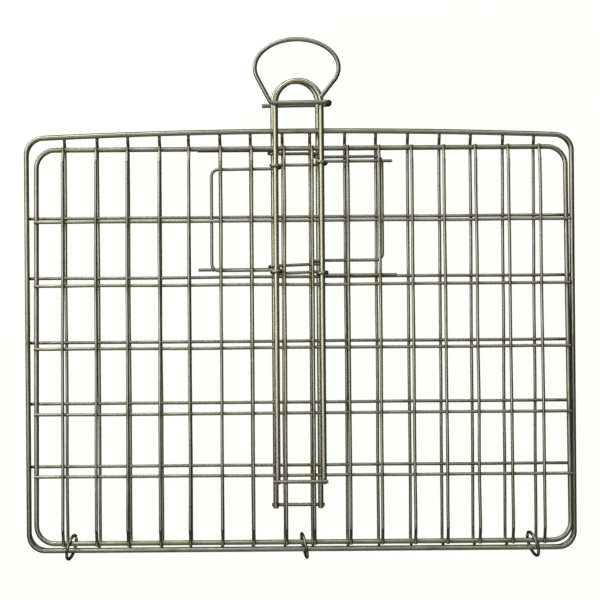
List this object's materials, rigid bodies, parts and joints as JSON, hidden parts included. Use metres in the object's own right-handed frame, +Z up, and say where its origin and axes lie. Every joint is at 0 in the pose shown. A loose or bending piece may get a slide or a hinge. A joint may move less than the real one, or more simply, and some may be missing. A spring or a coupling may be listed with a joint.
{
  "type": "hinged wire grill basket",
  "caption": "Hinged wire grill basket: a flat wire lid on rings over a shallow wire tray, with sliding U handles and a clip that locks them.",
  "frame": {"origin": "centre of the bounding box, on the surface that the basket lies on", "axes": "+Z up, with the lid on top; +Y towards the handles and the locking clip; X along the hinge"},
  "size_m": [0.453, 0.4234, 0.0449],
  "materials": {
    "rim_wire": "drawn stainless wire, slightly dulled",
    "grid_wire": "drawn stainless wire, slightly dulled",
    "guide_wire": "drawn stainless wire, slightly dulled",
    "ring_wire": "drawn stainless wire, hand bent",
    "handle_rod": "bright drawn stainless rod",
    "crossbar_wire": "drawn stainless wire",
    "clip_wire": "drawn stainless wire"
  },
  "bodies": {
    "tray": {"tray_upper_rim": "rim_wire", "tray_lower_rim": "rim_wire", "tray_bar_01": "grid_wire", "tray_bar_02": "grid_wire", "tray_bar_03": "grid_wire", "tray_bar_04": "grid_wire", "tray_bar_05": "grid_wire", "tray_bar_06": "grid_wire", "tray_bar_07": "grid_wire", "tray_bar_08": "grid_wire", "tray_bar_09": "grid_wire", "tray_bar_10": "grid_wire", "tray_bar_11": "grid_wire", "tray_bar_12": "grid_wire", "tray_bar_13": "grid_wire", "tray_bar_14": "grid_wire", "tray_bar_15": "grid_wire", "tray_bar_16": "grid_wire", "tray_cross_wire_1": "grid_wire", "tray_cross_wire_2": "grid_wire", "tray_cross_wire_3": "grid_wire", "tray_cross_wire_4": "grid_wire", "tray_cross_wire_5": "grid_wire", "tray_rim_post_1": "grid_wire", "tray_rim_post_2": "grid_wire", "tray_rim_post_3": "grid_wire", "tray_rim_post_4": "grid_wire", "tray_rim_post_5": "grid_wire", "tray_handle_guide": "guide_wire"},
    "hinge_ring_middle": {"hinge_ring_middle": "ring_wire"},
    "lid": {"lid_rim": "rim_wire", "lid_bar_01": "grid_wire", "lid_bar_02": "grid_wire", "lid_bar_03": "grid_wire", "lid_bar_04": "grid_wire", "lid_bar_05": "grid_wire", "lid_bar_06": "grid_wire", "lid_bar_07": "grid_wire", "lid_bar_08": "grid_wire", "lid_bar_09": "grid_wire", "lid_bar_10": "grid_wire", "lid_bar_11": "grid_wire", "lid_bar_12": "grid_wire", "lid_bar_13": "grid_wire", "lid_bar_14": "grid_wire", "lid_bar_15": "grid_wire", "lid_bar_16": "grid_wire", "lid_cross_wire_1": "grid_wire", "lid_cross_wire_2": "grid_wire", "lid_cross_wire_3": "grid_wire", "lid_cross_wire_4": "grid_wire", "lid_cross_wire_5": "grid_wire", "lid_handle_guide": "guide_wire"},
    "hinge_ring_left": {"hinge_ring_left": "ring_wire"},
    "hinge_ring_right": {"hinge_ring_right": "ring_wire"},
    "front_handle": {"front_handle": "handle_rod", "front_handle_crossbar": "crossbar_wire"},
    "rear_handle": {"rear_handle": "handle_rod", "rear_handle_crossbar": "crossbar_wire"},
    "locking_clip": {"locking_clip": "clip_wire"}
  },
  "joints": [
    {"name": "middle_ring_swing", "type": "hinge", "parent": "tray", "child": "hinge_ring_middle", "pos_m": [0.002, -0.2045, 0.02437], "axis": [1, 0, 0], "range_deg": [0, 90]},
    {"name": "lid_open", "type": "hinge", "parent": "hinge_ring_middle", "child": "lid", "pos_m": [0.002, -0.197, 0.03387], "axis": [1, 0, 0], "range_deg": [0, 90]},
    {"name": "left_ring_swing", "type": "hinge", "parent": "tray", "child": "hinge_ring_left", "pos_m": [-0.1873, -0.2045, 0.02437], "axis": [1, 0, 0], "range_deg": [0, 90]},
    {"name": "right_ring_swing", "type": "hinge", "parent": "tray", "child": "hinge_ring_right", "pos_m": [0.1878, -0.2045, 0.02437], "axis": [1, 0, 0], "range_deg": [0, 90]},
    {"name": "front_handle_slide", "type": "slide", "parent": "lid", "child": "front_handle", "axis": [0, 0.9993, -0.0366], "range_m": [-0.012, 0.16]},
    {"name": "rear_handle_slide", "type": "slide", "parent": "tray", "child": "rear_handle", "axis": [0, 1, 0], "range_m": [-0.006, 0.185]},
    {"name": "locking_clip_slide", "type": "slide", "parent": "rear_handle", "child": "locking_clip", "axis": [0, 1, 0], "range_m": [0, 0.045]}
  ],
  "couplings": [
    {"joint": "lid_open", "follows": "middle_ring_swing", "ratio": 1},
    {"joint": "left_ring_swing", "follows": "middle_ring_swing", "ratio": 1},
    {"joint": "right_ring_swing", "follows": "middle_ring_swing", "ratio": 1}
  ]
}
